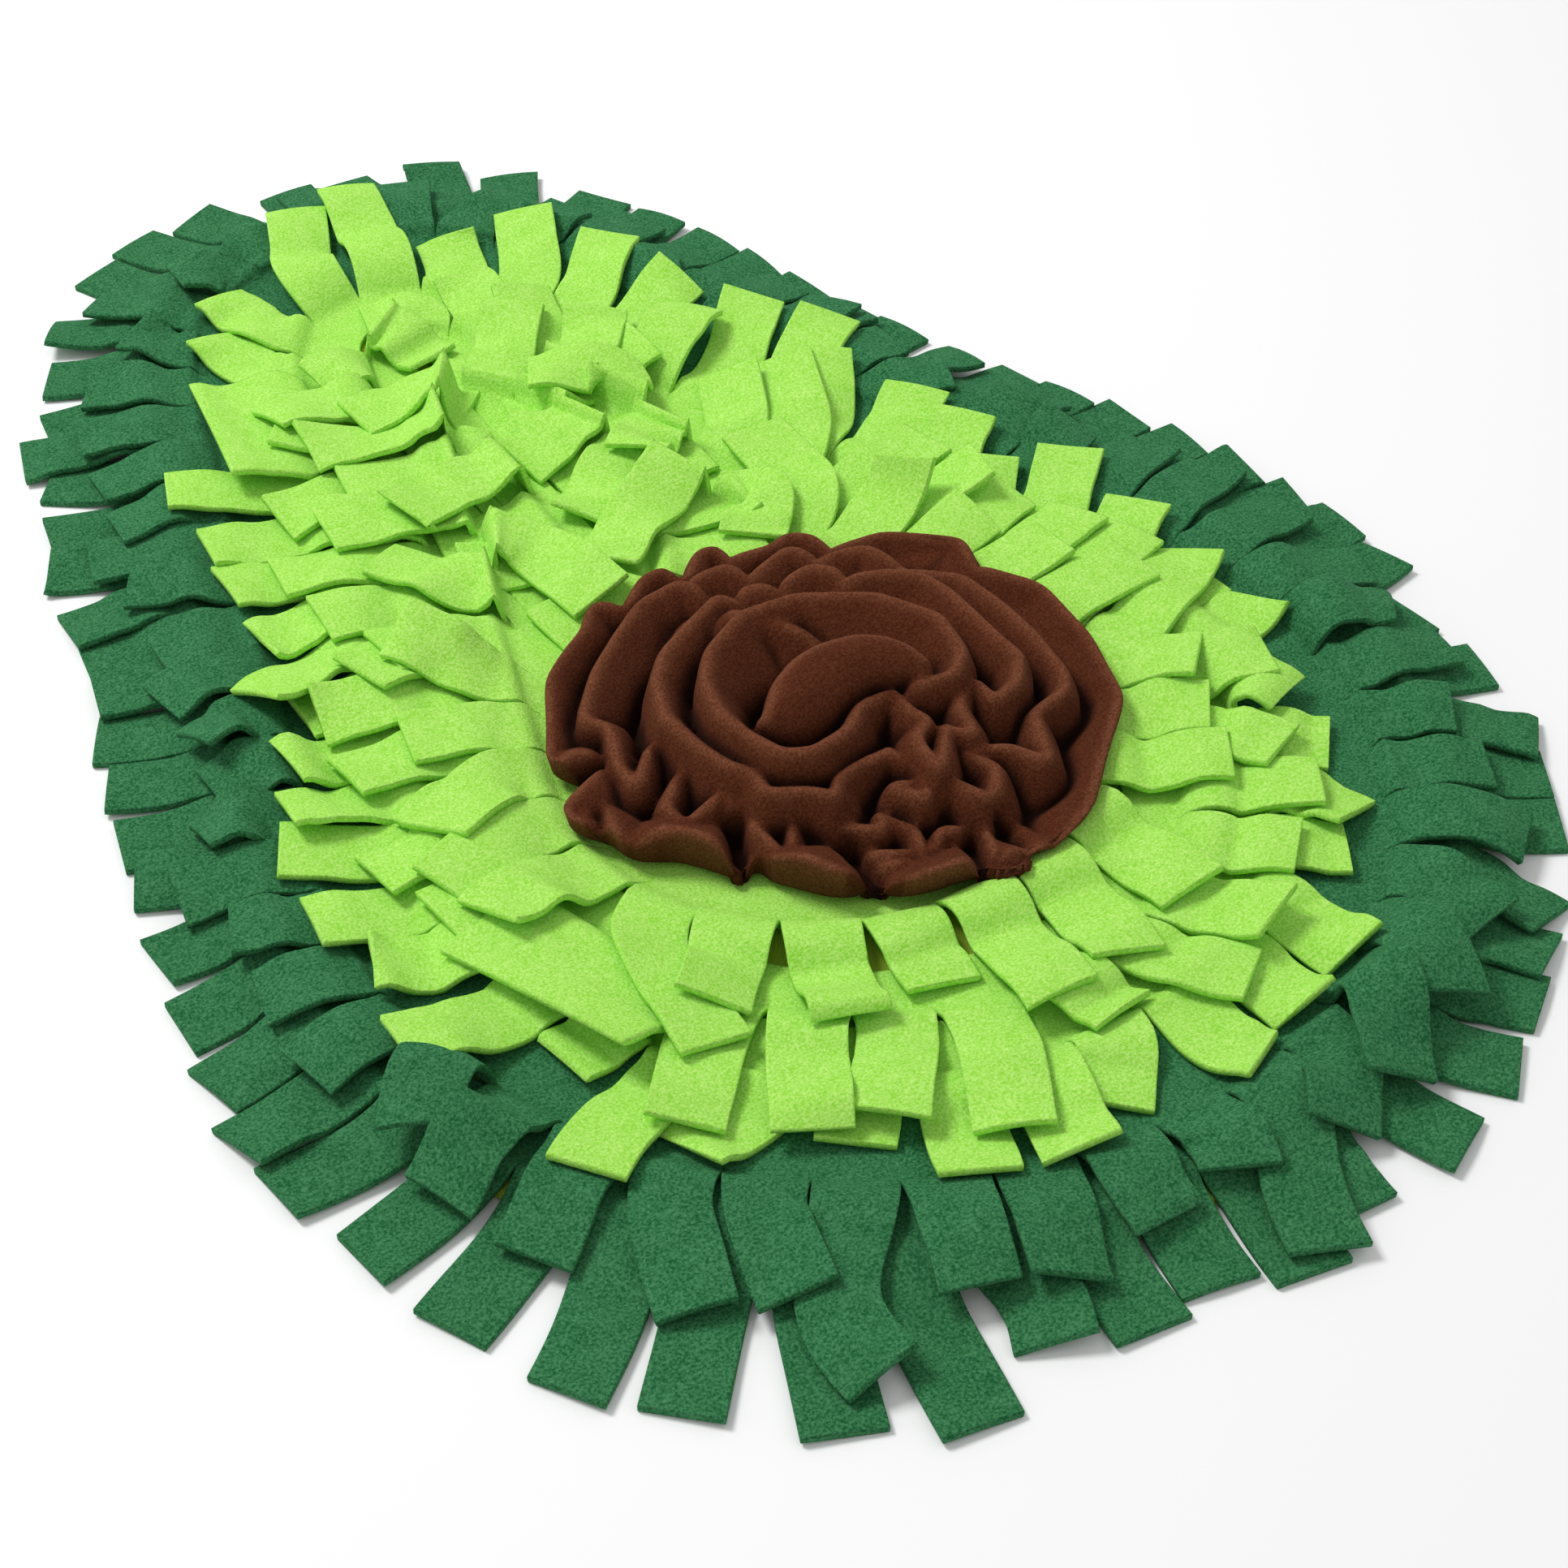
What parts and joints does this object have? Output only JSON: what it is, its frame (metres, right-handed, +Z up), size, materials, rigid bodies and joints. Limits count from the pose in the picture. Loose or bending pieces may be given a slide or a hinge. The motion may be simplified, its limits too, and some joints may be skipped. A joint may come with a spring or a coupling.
{
  "type": "snuffle mat",
  "caption": "Egg-shaped fleece snuffle mat like a halved avocado, with rings of dark and light green slit strips and a wound brown rosette as the stone.",
  "frame": {"origin": "on the surface the mat lies on, under the middle of its bounding box", "axes": "+Y along the mat's length towards the narrow neck end, +X across it, +Z up away from the surface"},
  "size_m": [0.4706, 0.6809, 0.043],
  "materials": {
    "base_lime": "flat woven base cloth, matt lime yellow",
    "skin_green": "fleece, matt, fine nubby pile, dark green",
    "flesh_green": "fleece, matt, fine nubby pile, light lime green",
    "stone_brown": "fleece, matt, fine nubby pile, dark brown"
  },
  "bodies": {
    "root": {"base_cloth": "base_lime", "dark_fringe_lower": "skin_green", "dark_fringe_upper": "skin_green", "light_fringe_1": "flesh_green", "light_fringe_2": "flesh_green", "light_fringe_3": "flesh_green", "neck_fringe": "flesh_green", "seed_rosette": "stone_brown"}
  },
  "joints": []
}
